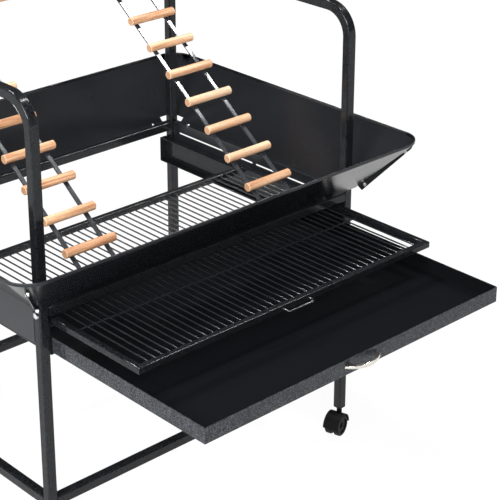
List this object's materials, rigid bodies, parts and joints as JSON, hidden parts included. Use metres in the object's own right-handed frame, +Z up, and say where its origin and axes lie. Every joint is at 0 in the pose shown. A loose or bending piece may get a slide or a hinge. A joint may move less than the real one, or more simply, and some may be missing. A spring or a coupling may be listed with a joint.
{
  "type": "parrot play stand",
  "caption": "Rolling bird play stand: square-tube frame with side hoops, hooked rung ladders, a flared seed guard, a sliding wire grate and a pull-out tray on swivel casters.",
  "frame": {"origin": "on the floor, under the middle of the square-tube frame", "axes": "+Z up; -Y is the front, where the tray and the grate pull out; +X is the right-hand side seen from the front"},
  "size_m": [0.962, 1.061, 0.956],
  "materials": {
    "black_hammertone": "black hammertone powder coat",
    "black_sheet": "smooth satin black powder coat",
    "black_wire": "satin black powder coat on wire",
    "wood": "turned beech dowel, oiled",
    "nickel": "satin nickel plate",
    "zinc": "bright zinc plate",
    "steel": "plain steel",
    "caster_plastic": "black moulded nylon",
    "wheel_plastic": "black moulded wheel"
  },
  "bodies": {
    "stand": {"leg_front_left": "black_hammertone", "leg_front_right": "black_hammertone", "leg_rear_left": "black_hammertone", "leg_rear_right": "black_hammertone", "lower_rail_left": "black_hammertone", "lower_rail_right": "black_hammertone", "lower_rail_front": "black_hammertone", "lower_rail_rear": "black_hammertone", "top_rail_front": "black_hammertone", "top_rail_rear": "black_hammertone", "side_panel_left": "black_sheet", "side_panel_right": "black_sheet", "slide_guide_left": "black_hammertone", "slide_guide_right": "black_hammertone", "seed_guard_front": "black_sheet", "seed_guard_right": "black_sheet", "seed_guard_rear": "black_sheet", "seed_guard_left": "black_sheet", "side_hoop_left": "black_hammertone", "side_hoop_right": "black_hammertone", "rear_post_left": "black_hammertone", "rear_post_right": "black_hammertone", "post_caps": "caster_plastic", "post_spigots": "steel", "perch": "wood", "frame_screws": "zinc", "guard_screws": "zinc", "caster_sockets": "caster_plastic"},
    "tray": {"tray_floor": "black_hammertone", "tray_wall_front": "black_hammertone", "tray_wall_right": "black_hammertone", "tray_wall_rear": "black_hammertone", "tray_wall_left": "black_hammertone", "tray_pull": "nickel", "tray_pull_screws": "zinc"},
    "grate": {"grate_frame": "black_hammertone", "grate_wires": "black_wire", "grate_pull": "black_wire"},
    "ladder_left": {"ladder_left_bar_left": "black_hammertone", "ladder_left_bar_right": "black_hammertone", "ladder_left_rungs": "wood"},
    "ladder_right": {"ladder_right_bar_left": "black_hammertone", "ladder_right_bar_right": "black_hammertone", "ladder_right_rungs": "wood"},
    "caster_front_left": {"caster_hood_front_left": "caster_plastic", "caster_stem_front_left": "steel", "caster_axle_front_left": "steel"},
    "wheels_front_left": {"caster_wheels_front_left": "wheel_plastic"},
    "caster_front_right": {"caster_hood_front_right": "caster_plastic", "caster_stem_front_right": "steel", "caster_axle_front_right": "steel"},
    "wheels_front_right": {"caster_wheels_front_right": "wheel_plastic"},
    "caster_rear_left": {"caster_hood_rear_left": "caster_plastic", "caster_stem_rear_left": "steel", "caster_axle_rear_left": "steel"},
    "wheels_rear_left": {"caster_wheels_rear_left": "wheel_plastic"},
    "caster_rear_right": {"caster_hood_rear_right": "caster_plastic", "caster_stem_rear_right": "steel", "caster_axle_rear_right": "steel"},
    "wheels_rear_right": {"caster_wheels_rear_right": "wheel_plastic"}
  },
  "joints": [
    {"name": "tray_slide", "type": "slide", "parent": "stand", "child": "tray", "axis": [0, -1, 0], "range_m": [-0.391, 0.1]},
    {"name": "grate_slide", "type": "slide", "parent": "stand", "child": "grate", "axis": [0, -1, 0], "range_m": [-0.229, 0.25]},
    {"name": "ladder_left_lift", "type": "hinge", "parent": "stand", "child": "ladder_left", "pos_m": [-0.224, 0.2655, 0.9245], "axis": [-1, 0, 0], "range_deg": [0, 70]},
    {"name": "ladder_right_lift", "type": "hinge", "parent": "stand", "child": "ladder_right", "pos_m": [0.21, 0.2655, 0.9245], "axis": [-1, 0, 0], "range_deg": [0, 70]},
    {"name": "caster_front_left_swivel", "type": "hinge", "parent": "stand", "child": "caster_front_left", "pos_m": [-0.3715, -0.2655, 0.05], "axis": [0, 0, 1], "continuous": true},
    {"name": "wheels_front_left_roll", "type": "hinge", "parent": "caster_front_left", "child": "wheels_front_left", "pos_m": [-0.38489, -0.26959, 0.0225], "axis": [-0.2924, 0.9563, 0], "continuous": true},
    {"name": "caster_front_right_swivel", "type": "hinge", "parent": "stand", "child": "caster_front_right", "pos_m": [0.3715, -0.2655, 0.05], "axis": [0, 0, 1], "continuous": true},
    {"name": "wheels_front_right_roll", "type": "hinge", "parent": "caster_front_right", "child": "wheels_front_right", "pos_m": [0.35811, -0.26959, 0.0225], "axis": [-0.2924, 0.9563, 0], "continuous": true},
    {"name": "caster_rear_left_swivel", "type": "hinge", "parent": "stand", "child": "caster_rear_left", "pos_m": [-0.3715, 0.2655, 0.05], "axis": [0, 0, 1], "continuous": true},
    {"name": "wheels_rear_left_roll", "type": "hinge", "parent": "caster_rear_left", "child": "wheels_rear_left", "pos_m": [-0.38489, 0.26141, 0.0225], "axis": [-0.2924, 0.9563, 0], "continuous": true},
    {"name": "caster_rear_right_swivel", "type": "hinge", "parent": "stand", "child": "caster_rear_right", "pos_m": [0.3715, 0.2655, 0.05], "axis": [0, 0, 1], "continuous": true},
    {"name": "wheels_rear_right_roll", "type": "hinge", "parent": "caster_rear_right", "child": "wheels_rear_right", "pos_m": [0.35811, 0.26141, 0.0225], "axis": [-0.2924, 0.9563, 0], "continuous": true}
  ]
}
